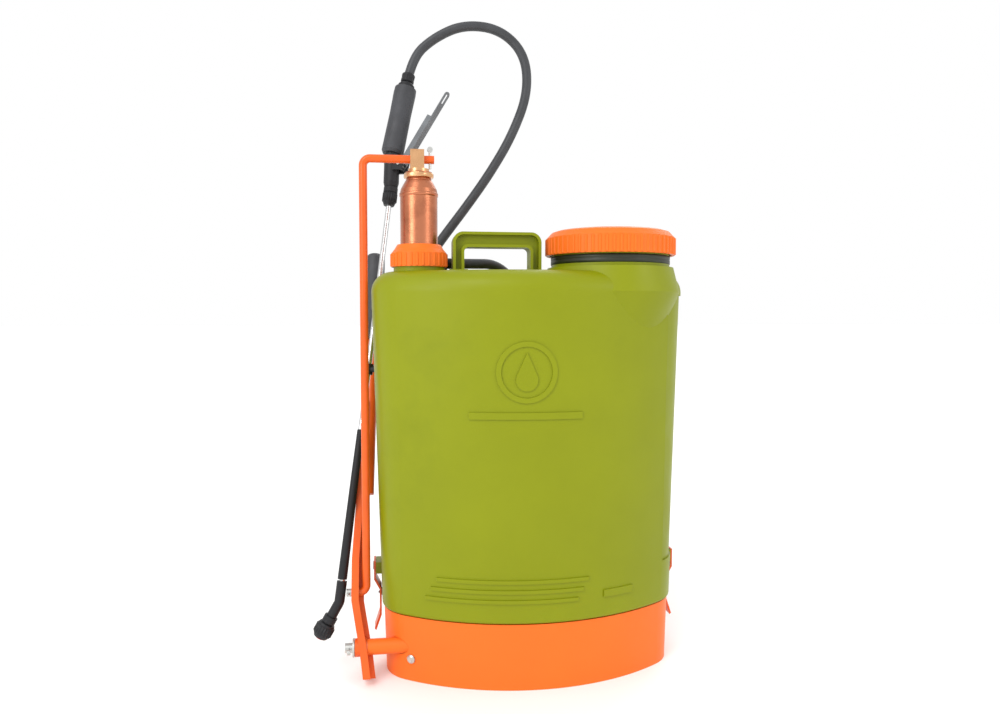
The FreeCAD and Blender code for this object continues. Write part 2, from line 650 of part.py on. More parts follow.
def make_outlet():
    piece, _, _ = tube([(-118, 55, 488), (-118, 55, 517), (-96.2, 55, 517)], 7, 8.5, 4)
    barb = Part.makeCylinder(9.4, 7, Vector(-108.5, 55, 517), Vector(1, 0, 0))
    barb = barb.cut(Part.makeCylinder(5, 9, Vector(-109.5, 55, 517), Vector(1, 0, 0)))
    piece.Shape = piece.Shape.fuse(barb)
    keep(piece, "outlet_elbow")
    keep(turned(ring(13, 7.2, 0, 4.4), (-118, 55, 503)), "outlet_nut")
    keep(turned(ring(12, 7.2, 0, 5), (-118, 55, 494.4)), "outlet_back_nut")
    delivery, _, _ = tube([(-118, 55, 487.8), (-118, 55, 300), (-118, 40, 272), (-118, 26, 258)],
                          6, 14, 4)
    keep(delivery, "delivery_pipe")
    wire_points = [tuple(point) for point in HOSE_ROUTE]
    hose, wire, radii = tube(wire_points, value("size.hose_radius"))
    hose.Placement = Placement(Vector(0, 0, 0), Rotation())
    keep(hose, "hose")
    section = math.pi * value("size.hose_radius") ** 2
    print("hose length", round(wire.Length, 1), "volume ratio",
          round(hose.Shape.Volume / (section * wire.Length), 4))
    print("hose radii", [round(radius) for radius in radii])


# ------------------------------------------------------------------ hand valve and lance
LANCE_LOW = Vector(-240.6, 7.2, 100)
LANCE_TOP = Vector(-173.9, 110.5, 619.5)
GRIP_LOW = Vector(-171.5, 121.0, 670)
GRIP_TOP = Vector(-150.6, 141.5, 771)
TRIGGER_PIVOT = Vector(-158.6, 107.8, 652)
TRIGGER_END = Vector(-100.3, 100.0, 748.4)


def between(low, high, share):
    return low + (high - low) * share


def make_hand_valve():
    lance = (LANCE_TOP - LANCE_LOW).normalize()
    grip = (GRIP_TOP - GRIP_LOW).normalize()
    trigger = (TRIGGER_END - TRIGGER_PIVOT).normalize()
    lance_turn = along(tuple(lance))
    length = (LANCE_TOP - LANCE_LOW).Length
    keep(turned(ring("size.lance_radius", "size.lance_radius - 1", 0, length),
                tuple(LANCE_LOW), lance_turn), "lance_tube")
    keep(turned([("size.lance_radius + 0.1", -22), (7, -22), (8.6, -18), (8.6, -4), (9.6, -4),
                 (9.6, 3), ("size.lance_radius + 0.1", 3)], tuple(LANCE_TOP), lance_turn),
         "lance_nut")
    side = grip.cross(trigger).normalize()
    face = side.cross(grip).normalize()
    low = LANCE_TOP + lance * 4.4
    body_axis = (GRIP_LOW - low).normalize()
    tall = (GRIP_LOW - low).Length
    trunk = turned([(0, 0), (9, 0), (10.5, 6), (10.5, tall - 14), (12, tall - 10),
                    (12, tall - 2.3), (0, tall - 2.3)], tuple(low), along(tuple(body_axis)))
    ear_turn = Rotation(face, side, grip, "ZXY")
    ears = []
    for offset in (5.2, -8.2):
        corner = TRIGGER_PIVOT - face * 20 + side * offset - grip * 8
        ears.append(block(26, 3, 16, tuple(corner), ear_turn))
    pin_at = TRIGGER_PIVOT - side * 10
    pin_hole = rod(2.05, 24, tuple(pin_at - side * 2), along(tuple(side)))
    spindle_at = TRIGGER_PIVOT + grip * 5.5 - face * 16
    spindle_hole = rod(3.4, 30, tuple(spindle_at - face * 10), along(tuple(face)))
    bore = rod(4, tall + 10, tuple(low - body_axis * 5), along(tuple(body_axis)))
    keep(cut(join(trunk, *ears), pin_hole, spindle_hole, bore), "valve_body")
    keep(rod(2.0, 20, tuple(pin_at), along(tuple(side))), "trigger_pin")
    keep(turned([(7, 0), (13.2, 0), ("size.hand_grip", 4), ("size.hand_grip - 0.6", 60),
                 ("size.hand_grip", 90), ("size.hand_grip - 0.5", 98), (7, 98)],
                tuple(GRIP_LOW), along(tuple(grip))), "hand_grip")
    keep(turned(ring(6.9, 4.5, 0, 94), tuple(GRIP_LOW + grip * 0.5), along(tuple(grip))),
         "handle_filter")
    nut_end = (Vector(*HOSE_ROUTE[-1]) - GRIP_LOW).dot(grip) - 0.2
    keep(turned([(4.6, 98.2), (11.4, 98.2), (11.4, nut_end - 3.5), (8.6, nut_end),
                 (4.6, nut_end)], tuple(GRIP_LOW), along(tuple(grip))), "hose_nut")
    # trigger: a pressed channel open towards the grip
    reach = (TRIGGER_END - TRIGGER_PIVOT).Length
    outward = side.cross(trigger).normalize()
    trigger_turn = Rotation(outward, side, trigger, "ZXY")

    def in_trigger(x, y, z):
        return tuple(TRIGGER_PIVOT + outward * x + side * y + trigger * z)

    plate = block(1.6, 9.6, reach - 4, in_trigger(3, -4.8, 4), trigger_turn)
    cheeks = [block(8.5, 1.6, reach - 30, in_trigger(-4, y, -5), trigger_turn)
              for y in (-4.8, 3.2)]
    tip = rod(4.8, 1.6, in_trigger(3, 0, reach), along(tuple(outward)))
    slot = block(6, 4, 14, in_trigger(1, -2, reach - 13), trigger_turn)
    hinge = rod(2.1, 30, tuple(TRIGGER_PIVOT - side * 15), along(tuple(side)))
    keep(cut(join(plate, *cheeks, tip), slot, hinge), "trigger")
    keep(turned([(0, 0), (3.2, 0), (3.2, 12), (2.2, 12), (2.2, 15.2), (0, 15.2)],
                tuple(spindle_at), along(tuple(face))), "valve_spindle")
    # nozzle: elbow on the lance, swirl body and turning cap
    keep(tube([tuple(LANCE_LOW + lance * 14), tuple(LANCE_LOW - lance * 12),
               tuple(LANCE_LOW - lance * 12 + NOZZLE * 20)], 6.4, 12, 3.65)[0],
         "nozzle_elbow")
    start = LANCE_LOW - lance * 12 + NOZZLE * 20
    keep(turned([(0, 0), (8.6, 0), (8.6, 8), (6.5, 9), (6.5, 22), (0, 22)], tuple(start),
                along(tuple(NOZZLE))), "nozzle_body")
    keep(turned([(6.9, 9.8), (9.8, 9.8), ("size.nozzle_radius", 12), ("size.nozzle_radius", 25),
                 (8.5, 29), (1, 29), (1, 24.5), (6.9, 24.5)], tuple(start),
                along(tuple(NOZZLE))), "nozzle_cap")


NOZZLE = Vector(-0.46, -0.04, -0.80).normalize()


def make_lance_clips():
    """Two spring clips that stand off the tank's rear corner and hold the lance."""
    lance = (LANCE_TOP - LANCE_LOW).normalize()
    for height, name in ((378, "lance_clip_lower"), (462, "lance_clip_upper")):
        share = (height - LANCE_LOW.z) / (LANCE_TOP.z - LANCE_LOW.z)
        at = between(LANCE_LOW, LANCE_TOP, share)
        collar = turned(ring(6.2, "size.lance_radius + 0.2", -7, 7), tuple(at),
                        along(tuple(lance)))
        centre = Vector(-value("size.half_width - size.back_corner"),
                        value("size.back_depth - size.back_corner"), height)
        inward = centre - Vector(at.x, at.y, height)
        gap = inward.Length - value(f"size.back_corner + tan(size.flare) * {height}")
        inward.normalize()
        arm = rod(4, gap - 4.75, tuple(at + inward * 4.6), along(tuple(inward)))
        keep(cut(join(collar, arm), rod("size.lance_radius + 0.2", 60,
                                        tuple(at - lance * 30), along(tuple(lance)))), name)


# ------------------------------------------------------------------ harness
def make_harness():
    anchors = []
    webbing = []
    buckles = []
    for side, name in ((-1, "left"), (1, "right")):
        x = side * value("size.strap_x")
        wide = value("size.strap_width")
        pad = extruded([(97.2, 468), (100, 484), (121, 470), (146, 430), (158, 380), (160, 320),
                        (152, 262), (136, 214), (122, 222), (138, 268), (146, 322), (144, 376),
                        (133, 422), (112, 455)], wide, "YZ_Plane", (x, 0, 0))
        keep(pad, f"strap_pad_{name}")
        anchors.append(block(wide + 10, 6, 18, (x - wide / 2 - 5, 90.5, 458)))
        low = Vector(side * 183, 69.5, 66)
        high = Vector(x + side * 8, 132, 210)
        run = high - low
        turn = Rotation(Vector(0, 0, 0) + run.cross(Vector(0, 1, 0)), Vector(0, 1, 0), run, "ZXY")
        width = 30
        across = turn.multVec(Vector(1, 0, 0))
        webbing.append(block(width, "size.webbing", run.Length - 14,
                             tuple(low - across * (width / 2)), turn))
        over = low + run * 0.62 - across * (width / 2 + 6) - turn.multVec(Vector(0, 9, 0))
        buckles.append(block(width + 12, 8, 16, tuple(over), turn))
        # side bracket: bolted to the tank's lug, down beside the base, out in a hook
        inner = 184.6
        plate = [(inner + 14.4, 134), (inner + 12.1, 134), (inner + 12.1, 112), (inner + 5, 98),
                 (inner + 5, 64), (inner + 12, 44), (inner + 14, 46), (inner + 7.3, 66),
                 (inner + 7.3, 97), (inner + 14.4, 110)]
        bracket = extruded([(side * px, pz) for px, pz in plate], 24, at=(0, 31, 0))
        hole = rod(3.1, 30, (side * 190 - 15, 31, 125.5), along((1, 0, 0)))
        keep(cut(bracket, hole), f"strap_bracket_{name}")
    bolts = [join(rod(3, 11.5, (x, 31, 125.5), along((1, 0, 0))),
                  rod(5.5, 1.4, (head, 31, 125.5), along((1, 0, 0))))
             for x, head in ((187.6, 199.1), (-199.1, -200.5))]
    sets = (("bracket_bolts", bolts), ("strap_anchors", anchors), ("strap_webbing", webbing),
            ("strap_buckles", buckles))
    for name, members in sets:
        pair = doc.addObject("Part::Compound", "pair")
        pair.Links = members
        keep(pair, name)


make_tank()
make_base()
make_carry_handle()
make_filler()
make_pump()
make_link_rod()
make_lever()
make_pivot()
make_outlet()
make_hand_valve()
make_lance_clips()
make_harness()
doc.recompute()

for item in doc.Objects:
    if "Invalid" in item.State or "Error" in item.State:
        raise RuntimeError(f"{item.Label} failed: {item.State}")
for piece in nodes:
    if piece.Shape.isNull() or not piece.Shape.isValid() or not piece.Shape.Solids:
        raise RuntimeError(f"{piece.Label} has no valid shape")

os.makedirs("parts", exist_ok=True)
for piece in nodes:
    piece.Shape.exportStep(os.path.join("parts", f"{piece.Label}.step"))
    bounds = piece.Shape.BoundBox
    print(f"{piece.Label:22s} solids {len(piece.Shape.Solids)} volume {piece.Shape.Volume:12.0f}",
          f"x {bounds.XMin:7.1f} {bounds.XMax:7.1f} y {bounds.YMin:7.1f} {bounds.YMax:7.1f}",
          f"z {bounds.ZMin:7.1f} {bounds.ZMax:7.1f}")
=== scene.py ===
"""Looks of a knapsack sprayer: materials, hose, harness and small detail around the CAD frame."""

import math

import bmesh
import bpy
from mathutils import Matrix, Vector


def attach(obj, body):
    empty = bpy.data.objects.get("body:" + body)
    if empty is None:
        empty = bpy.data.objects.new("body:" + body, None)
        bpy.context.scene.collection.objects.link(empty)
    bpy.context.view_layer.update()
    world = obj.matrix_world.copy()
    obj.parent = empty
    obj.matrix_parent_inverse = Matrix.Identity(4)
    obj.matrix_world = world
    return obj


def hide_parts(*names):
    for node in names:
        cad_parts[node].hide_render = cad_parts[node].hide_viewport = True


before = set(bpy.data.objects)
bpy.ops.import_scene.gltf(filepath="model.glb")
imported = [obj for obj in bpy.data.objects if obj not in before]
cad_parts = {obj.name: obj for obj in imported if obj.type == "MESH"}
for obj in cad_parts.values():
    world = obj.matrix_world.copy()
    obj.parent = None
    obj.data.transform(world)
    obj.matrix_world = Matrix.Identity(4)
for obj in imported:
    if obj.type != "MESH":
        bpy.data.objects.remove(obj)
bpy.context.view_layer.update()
scene = bpy.context.scene

MM = 0.001
X_AXIS = Vector((1, 0, 0))
Y_AXIS = Vector((0, 1, 0))
Z_AXIS = Vector((0, 0, 1))

# ------------------------------------------------------------------ camera and light
CAMERA_PLACE = (-0.179, -1.000, 0.450)
CAMERA_PITCH = 86.95
CAMERA_YAW = -8.0
SENSOR_WIDTH = 36.0
LENS = 28.69


def make_camera():
    """A camera a metre in front of the tank, turned a little to the right."""
    data = bpy.data.cameras.new("camera")
    data.sensor_width = SENSOR_WIDTH
    data.lens = LENS
    camera = bpy.data.objects.new("camera", data)
    camera.location = CAMERA_PLACE
    camera.rotation_euler = (math.radians(CAMERA_PITCH), 0.0, math.radians(CAMERA_YAW))
    scene.collection.objects.link(camera)
    scene.camera = camera


def new_object(name, vertices, faces, smooth=True):
    """A linked mesh object whose faces all point outwards."""
    mesh = bpy.data.meshes.new(name)
    mesh.from_pydata([tuple(v) for v in vertices], [], faces)
    mesh.update()
    work = bmesh.new()
    work.from_mesh(mesh)
    bmesh.ops.recalc_face_normals(work, faces=work.faces[:])
    work.to_mesh(mesh)
    work.free()
    for polygon in mesh.polygons:
        polygon.use_smooth = smooth
    obj = bpy.data.objects.new(name, mesh)
    scene.collection.objects.link(obj)
    return obj


def add_lamp(name, kind, direction, power, location=(0, 0, 0)):
    """A lamp that shines along the direction."""
    lamp = bpy.data.lights.new(name, kind)
    lamp.energy = power
    obj = bpy.data.objects.new(name, lamp)
    obj.location = location
    obj.rotation_euler = Vector(direction).to_track_quat("-Z", "Y").to_euler()
    scene.collection.objects.link(obj)
    return lamp


def area_light(name, location, target, size, power):
    """A round lamp aimed at a point."""
    lamp = add_lamp(name, "AREA", Vector(target) - Vector(location), power, location)
    lamp.shape = "DISK"
    lamp.size = size


def sun_light(name, direction, power, spread):
    """A sun; a wider spread softens its shadows."""
    add_lamp(name, "SUN", direction, power).angle = spread


def make_light():
    """An even white surround, a sun from the front left, one from behind and two faint discs."""
    sun_light("key", (0.55, 0.75, -0.95), 0.95, 0.5)
    sun_light("rim", (-0.5, -0.9, -0.8), 0.5, 0.6)
    area_light("strip_left", (-1.3, -1.1, 0.9), (0, 0, 0.35), 0.7, 7)
    area_light("strip_right", (1.5, -1.2, 1.2), (0, 0, 0.3), 0.8, 6)
    world = bpy.data.worlds.new("studio")
    world.use_nodes = True
    surround = world.node_tree.nodes["Background"]
    surround.inputs["Color"].default_value = (1.0, 1.0, 1.0, 1)
    surround.inputs["Strength"].default_value = 1.0
    scene.world = world
    scene.view_settings.view_transform = "Standard"


# ------------------------------------------------------------------ materials
def grade(colour, factor):
    """The colour made lighter or darker, with full opacity added."""
    return tuple(min(1.0, max(0.0, c * factor)) for c in colour) + (1.0,)


class Finish:
    """A procedural material whose nodes read the piece's own coordinates."""

    def __init__(self, name, colour, metallic=0.0, **shader):
        self.material = bpy.data.materials.new(name)
        self.material.use_nodes = True
        self.tree = self.material.node_tree
        self.shader = self.tree.nodes["Principled BSDF"]
        self.shader.inputs["Metallic"].default_value = metallic
        for socket, number in shader.items():
            self.shader.inputs[socket.replace("_", " ")].default_value = number
        self.where = self.tree.nodes.new("ShaderNodeTexCoord").outputs["Object"]
        self.colour = colour
        self.base = None

    def node(self, kind, **values):
        """A node with some of its inputs set."""
        made = self.tree.nodes.new(kind)
        for key, number in values.items():
            made.inputs[key].default_value = number
        return made

    def noise(self, scale, detail=4.0, stretch=(1, 1, 1), rough=0.55):
        """A cloudy texture, finer along an axis that is stretched more."""
        mapping = self.node("ShaderNodeMapping", Scale=stretch)
        self.tree.links.new(self.where, mapping.inputs["Vector"])
        texture = self.node("ShaderNodeTexNoise", Scale=scale, Detail=detail, Roughness=rough)
        self.tree.links.new(mapping.outputs["Vector"], texture.inputs["Vector"])
        return texture.outputs["Fac"]

    def ramp(self, source, low, high, start=0.3, end=0.7):
        """A value that runs from low to high while the source runs from start to end."""
        ramp = self.tree.nodes.new("ShaderNodeMapRange")
        for socket, number in (("From Min", start), ("From Max", end),
                               ("To Min", low), ("To Max", high)):
            ramp.inputs[socket].default_value = number
        self.tree.links.new(source, ramp.inputs["Value"])
        return ramp.outputs["Result"]

    def blend(self, source, first, second, start=0.35, end=0.65):
        """Colour that runs from the first to the second with a texture."""
        mix = self.tree.nodes.new("ShaderNodeMix")
        mix.data_type = "RGBA"
        factor_in, first_in, second_in = (mix.inputs[number] for number in (0, 6, 7))
        self.tree.links.new(self.ramp(source, 0.0, 1.0, start, end), factor_in)
        for socket, colour in ((first_in, first), (second_in, second)):
            if isinstance(colour, tuple):
                socket.default_value = colour
            else:
                self.tree.links.new(colour, socket)
        return mix.outputs[2]

    def tint(self, scale, spread, stretch=(1, 1, 1)):
        """The base colour, drifting by the spread to either side."""
        source = self.noise(scale, 5.0, stretch)
        self.base = self.blend(source, grade(self.colour, 1 - spread),
                               grade(self.colour, 1 + spread))
        self.tree.links.new(self.base, self.shader.inputs["Base Color"])
        return self

    def marks(self, colour, scale, start, end):
        """Sparse wear or stain over the tint."""
        source = self.noise(scale, 8.0, rough=0.65)
        self.base = self.blend(source, self.base, tuple(colour) + (1.0,), start, end)
        self.tree.links.new(self.base, self.shader.inputs["Base Color"])
        return self

    def gloss(self, low, high, scale=25.0, stretch=(1, 1, 1)):
        """Roughness that wanders between two values."""
        source = self.noise(scale, 5.0, stretch)
        self.tree.links.new(self.ramp(source, low, high), self.shader.inputs["Roughness"])
        return self

    def threads(self, scale, direction):
        """Straight even rows across one axis."""
        texture = self.node("ShaderNodeTexWave", Scale=scale, Distortion=0.0)
        texture.bands_direction = direction
        self.tree.links.new(self.where, texture.inputs["Vector"])
        return texture.outputs["Fac"]

    def bump(self, *layers):
        """Each layer is a height source and how deep it is in metres."""
        normal = None
        for source, depth in layers:
            made = self.node("ShaderNodeBump", Strength=1.0, Distance=depth)
            self.tree.links.new(source, made.inputs["Height"])
            if normal is not None:
                self.tree.links.new(normal, made.inputs["Normal"])
            normal = made.outputs["Normal"]
        self.tree.links.new(normal, self.shader.inputs["Normal"])
        return self


def plastic(name, colour, low, high, spread):
    """A moulded plastic: faint drift of colour, fine grain and slight sink marks."""
    made = Finish(name, colour, Specular_IOR_Level=0.25)
    made.tint(9.0, spread).gloss(low, high, 14.0)
    made.bump((made.noise(1400.0, 2.0), 0.000035), (made.noise(16.0, 2.0), 0.0009))
    return made


TANK = plastic("tank_plastic", (0.215, 0.245, 0.0), 0.36, 0.5, 0.035)
TANK.marks((0.175, 0.205, 0.0), 5.0, 0.56, 0.85)
BASE = plastic("base_plastic", (0.86, 0.150, 0.014), 0.36, 0.5, 0.03)
CAP = plastic("cap_plastic", (0.80, 0.150, 0.010), 0.36, 0.5, 0.035)
BLACK = plastic("black_plastic", (0.016, 0.016, 0.018), 0.34, 0.55, 0.15)
WHITE = plastic("natural_plastic", (0.78, 0.77, 0.70), 0.4, 0.6, 0.03)
RED = plastic("red_plastic", (0.62, 0.022, 0.015), 0.3, 0.45, 0.05)

PAINT = Finish("lever_paint", (0.74, 0.105, 0.010), Specular_IOR_Level=0.35)
PAINT.tint(30.0, 0.07).marks((0.42, 0.05, 0.02), 60.0, 0.66, 0.76)
PAINT.gloss(0.28, 0.42, 40.0).bump((PAINT.noise(900.0, 2.0), 0.00004),
                                   (PAINT.noise(60.0, 3.0), 0.0003))

COPPER = Finish("copper", (0.46, 0.165, 0.085), 1.0)
COPPER.tint(6.0, 0.22, (1, 1, 0.5)).marks((0.23, 0.070, 0.036), 14.0, 0.48, 0.74)
COPPER.gloss(0.2, 0.36, 10.0)
COPPER.bump((COPPER.noise(24.0, 3.0, (1, 1, 60)), 0.00012), (COPPER.noise(900.0, 2.0), 0.00002))

BRASS = Finish("brass", (0.68, 0.38, 0.19), 1.0)
BRASS.tint(12.0, 0.16).marks((0.34, 0.18, 0.09), 22.0, 0.6, 0.82).gloss(0.2, 0.38, 30.0)
BRASS.bump((BRASS.noise(30.0, 2.0, (1, 1, 50)), 0.00008))

ZINC = Finish("zinc_steel", (0.56, 0.56, 0.54), 1.0)
ZINC.tint(70.0, 0.14).marks((0.30, 0.26, 0.22), 40.0, 0.66, 0.86).gloss(0.26, 0.46, 80.0)
ZINC.bump((ZINC.noise(500.0, 3.0), 0.00004))

STAINLESS = Finish("stainless", (0.60, 0.60, 0.60), 1.0)
STAINLESS.tint(20.0, 0.08, (30, 30, 1)).gloss(0.16, 0.3, 60.0, (8, 8, 0.3))
STAINLESS.bump((STAINLESS.noise(60.0, 2.0, (20, 20, 0.4)), 0.00003))

TRIGGER = Finish("trigger_metal", (0.17, 0.18, 0.19), 0.55)
TRIGGER.tint(40.0, 0.12).marks((0.42, 0.42, 0.42), 90.0, 0.7, 0.8).gloss(0.32, 0.5, 60.0)
TRIGGER.bump((TRIGGER.noise(700.0, 3.0), 0.00006))

GRIP = Finish("soft_grip", (0.034, 0.035, 0.040))
GRIP.tint(30.0, 0.25).gloss(0.5, 0.68, 40.0)
GRIP.bump((GRIP.noise(1800.0, 2.0), 0.00012), (GRIP.noise(90.0, 3.0), 0.0003))

RUBBER = Finish("rubber", (0.018, 0.018, 0.018))
RUBBER.tint(30.0, 0.2).gloss(0.55, 0.75).bump((RUBBER.noise(700.0, 3.0), 0.00006))

# Near-black green over the filler neck: the neck's own dark green with painted shade from the filler
# cap above it.
NECK_SHADE = Finish("neck_shade_ring", (0.012, 0.016, 0.004))
NECK_SHADE.tint(30.0, 0.2).gloss(0.4, 0.6).bump((NECK_SHADE.noise(700.0, 3.0), 0.00006))

HOSE = Finish("hose_rubber", (0.032, 0.034, 0.038))
HOSE.tint(22.0, 0.22).marks((0.075, 0.075, 0.08), 35.0, 0.6, 0.85).gloss(0.42, 0.6, 30.0)
HOSE.bump((HOSE.noise(1200.0, 2.0), 0.00008), (HOSE.noise(70.0, 2.0), 0.0004))


def cloth(name, colour, pitch, depth):
    """A woven cloth: crossed rows of thread, dull, with a paler bloom in scattered fine patches."""
    made = Finish(name, colour, Sheen_Weight=0.35, Sheen_Roughness=0.5)
    made.tint(60.0, 0.2).marks(tuple(c * 1.7 for c in colour), 220.0, 0.55, 0.8)
    made.gloss(0.72, 0.92, 90.0)
    rows = made.threads(pitch, "Z")
    columns = made.threads(pitch, "X")
    made.bump((rows, depth), (columns, depth), (made.noise(40.0, 3.0), 0.0006))
    return made


WEBBING = cloth("webbing", (0.030, 0.031, 0.034), 260.0, 0.00035)
PADDING = cloth("pad_cloth", (0.045, 0.047, 0.050), 420.0, 0.00025)
THREAD = cloth("thread", (0.30, 0.31, 0.30), 900.0, 0.0001)

FINISHES = {
    TANK: ("tank_shell", "carry_handle"),
    BASE: ("base_skirt", "shaft_sleeve"),
    CAP: ("filler_cap", "pump_cap"),
    COPPER: ("air_chamber",),
    BRASS: ("pump_cylinder", "top_block", "valve_spindle", "outlet_nut", "outlet_back_nut"),
    PAINT: ("link_rod", "lever_channel", "strap_bracket_left", "strap_bracket_right",
            "lever_tube"),
    ZINC: ("crank_pin", "crank_split_pin", "pivot_shaft", "pivot_washer", "pivot_split_pin",
           "shaft_bracket", "bracket_screw", "skirt_screw", "rod_split_pin", "trigger_pin",
           "bracket_bolts"),
    STAINLESS: ("lance_tube",),
    GRIP: ("lever_grip", "hand_grip"),
    RUBBER: ("filler_gasket", "pump_gasket", "gland_seal", "piston_cup", "inlet_ball"),
    WHITE: ("filler_strainer", "foot_strainer", "inlet_valve_seat", "piston", "handle_filter",
            "delivery_pipe"),
    BLACK: ("outlet_elbow", "valve_body", "hose_nut", "lance_clip_lower", "lance_clip_upper",
            "strap_anchors", "strap_buckles", "nozzle_elbow", "nozzle_body", "lance_nut",
            "nozzle_cap", "cap_vent"),
    TRIGGER: ("trigger",),
}


def paint_frame():
    """Give every CAD piece its material."""
    for finish, names in FINISHES.items():
        for name in names:
            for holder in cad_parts[name].material_slots:
                holder.material = finish.material


def dress(obj, finish, body):
    """Give a new piece its material and its body."""
    obj.data.materials.clear()
    obj.data.materials.append(finish.material)
    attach(obj, body)
    return obj


FLOOR_HALF = 30


def make_floor():
    """A pale paper floor that runs past the edge of the picture."""
    corners = [(x, y, 0) for x, y in ((-FLOOR_HALF, -FLOOR_HALF), (FLOOR_HALF, -FLOOR_HALF),
                                      (FLOOR_HALF, FLOOR_HALF), (-FLOOR_HALF, FLOOR_HALF))]
    floor = new_object("floor", corners, [(0, 1, 2, 3)], False)
    paper = Finish("paper", (0.93, 0.93, 0.925))
    paper.tint(2.0, 0.006).gloss(0.7, 0.85, 3.0)
    floor.data.materials.append(paper.material)


# ------------------------------------------------------------------ mesh tools
def tangent_at(points, index):
    """The line's direction at one of its points, from the points on either side."""
    before = points[max(index - 1, 0)]
    after = points[min(index + 1, len(points) - 1)]
    return (after - before).normalized()


def frames_along(points):
    """A point, normal and side for each point, with no twist between them."""
    tangents = [tangent_at(points, index) for index in range(len(points))]
    normal = tangents[0].orthogonal().normalized()
    found = []
    for point, tangent in zip(points, tangents):
        normal = (normal - tangent * normal.dot(tangent)).normalized()
        found.append((point, normal, tangent.cross(normal)))
    return found


def turn(step, steps):
    """The angle of one step of a full turn."""
    return 2 * math.pi * step / steps


def round_offset(normal, side, angle, radius):
    """A place on a circle that the two directions span."""
    return (normal * math.cos(angle) + side * math.sin(angle)) * radius


def skin(name, rings, closed_ends=True):
    """Join rings of equally many points into a tube."""
    count = len(rings[0])
    vertices = [point for ring in rings for point in ring]
    faces = []
    for row in range(len(rings) - 1):
        for step in range(count):
            after = (step + 1) % count
            faces.append((row * count + step, row * count + after,
                          (row + 1) * count + after, (row + 1) * count + step))
    if closed_ends:
        faces.append(tuple(range(count)))
        faces.append(tuple((len(rings) - 1) * count + step for step in range(count)))
    return new_object(name, vertices, faces)


def mesh_tube(name, points, radius, sides):
    """A round tube along a line."""
    rings = []
    for point, normal, side in frames_along(points):
        rings.append([point + round_offset(normal, side, turn(step, sides), radius)
                      for step in range(sides)])
    return skin(name, rings)


def lathe(name, profile, origin, axis, sides, ribs=0, rib_depth=0.0):
    """Turn radius and height pairs in mm about an axis; a third value, RIBBED, scallops the rim."""
    axis = Vector(axis).normalized()
    normal = axis.orthogonal().normalized()
    side = axis.cross(normal)
    rings = []
    for radius, height, *ribbed in profile:
        ring = []
        for step in range(sides):
            angle = turn(step, sides)
            reach = radius * MM
            if ribbed:
                reach -= rib_depth * MM * (0.5 - 0.5 * math.cos(angle * ribs))
            ring.append(Vector(origin) + axis * height * MM
                        + round_offset(normal, side, angle, reach))
        rings.append(ring)
    return skin(name, rings, False)


RIBBED = True


def trim(name, profile, origin, axis, sides, finish, body, ribs=0, rib_depth=0.0):
    """A lathe piece with its looks and body."""
    dress(lathe(name, profile, origin, axis, sides, ribs, rib_depth), finish, body)


def strap(name, points, across, width, thick):
    """A flat band through the points; across gives its width direction at each."""
    sections = 8
    shares = [step / sections * 2 - 1 for step in range(sections + 1)]
    rings = []
    for index, point in enumerate(points):
        tangent = tangent_at(points, index)
        wide = (across[index] - tangent * across[index].dot(tangent)).normalized()
        up = wide.cross(tangent).normalized()

        def edge(share, face):
            """A point on the upper or lower face, which thins towards the selvedge."""
            return (point + wide * (share * width / 2)
                    + up * (face * thick / 2 * (1 - 0.35 * share ** 6)))

        rings.append([edge(share, 1) for share in shares]
                     + [edge(share, -1) for share in reversed(shares)])
    return skin(name, rings)


def smooth_line(points, steps):
    """Catmull-Rom points through the given ones."""
    points = [Vector(point) for point in points]
    padded = [points[0] * 2 - points[1]] + points + [points[-1] * 2 - points[-2]]
    line = []
    for index in range(1, len(padded) - 2):
        a, b, c, d = padded[index - 1:index + 3]
        for step in range(steps):
            t = step / steps
            line.append(0.5 * (2 * b + (c - a) * t + (2 * a - 5 * b + 4 * c - d) * t ** 2
                               + (3 * b - a - 3 * c + d) * t ** 3))
    line.append(points[-1])
    return line


def final_mesh(obj):
    """The object's mesh after its modifiers."""
    graph = bpy.context.evaluated_depsgraph_get()
    return bpy.data.meshes.new_from_object(obj.evaluated_get(graph))


# ------------------------------------------------------------------ hose
HOSE_ROUTE_MM = (
    (-96, 55, 517), (-66, 55, 517), (-36, 69, 518), (-8, 97, 500), (10, 106, 462),
    (12, 107, 414), (-8, 108, 370), (-50, 108, 342), (-98, 108, 348), (-134, 109, 380),
    (-148, 111, 428), (-146, 115, 478), (-127, 121, 522), (-100, 127, 560), (-68, 131, 602),
    (-34, 134, 650), (-2, 138, 704), (22, 142, 766), (18, 145, 822), (-18, 147, 856),
    (-70, 148, 860), (-112, 150, 840), (-142.3, 149.7, 811.1), (-150.2, 141.9, 772.7),
)
HOSE_RADIUS = 6.6 * MM


def hose_centreline():
    """Points along the hose: a curve of the third order through the route's corners."""
    curve = bpy.data.curves.new("hose_line", "CURVE")
    curve.dimensions = "3D"
    curve.resolution_u = 14
    spline = curve.splines.new("NURBS")
    spline.points.add(len(HOSE_ROUTE_MM) - 1)
    for point, (x, y, z) in zip(spline.points, HOSE_ROUTE_MM):
        point.co = (x * MM, y * MM, z * MM, 1.0)
    spline.order_u = 3
    spline.use_endpoint_u = True
    line_object = bpy.data.objects.new("hose_line", curve)
    scene.collection.objects.link(line_object)
    bpy.context.view_layer.update()
    path = [vertex.co.copy() for vertex in final_mesh(line_object).vertices]
    bpy.data.objects.remove(line_object)
    return path


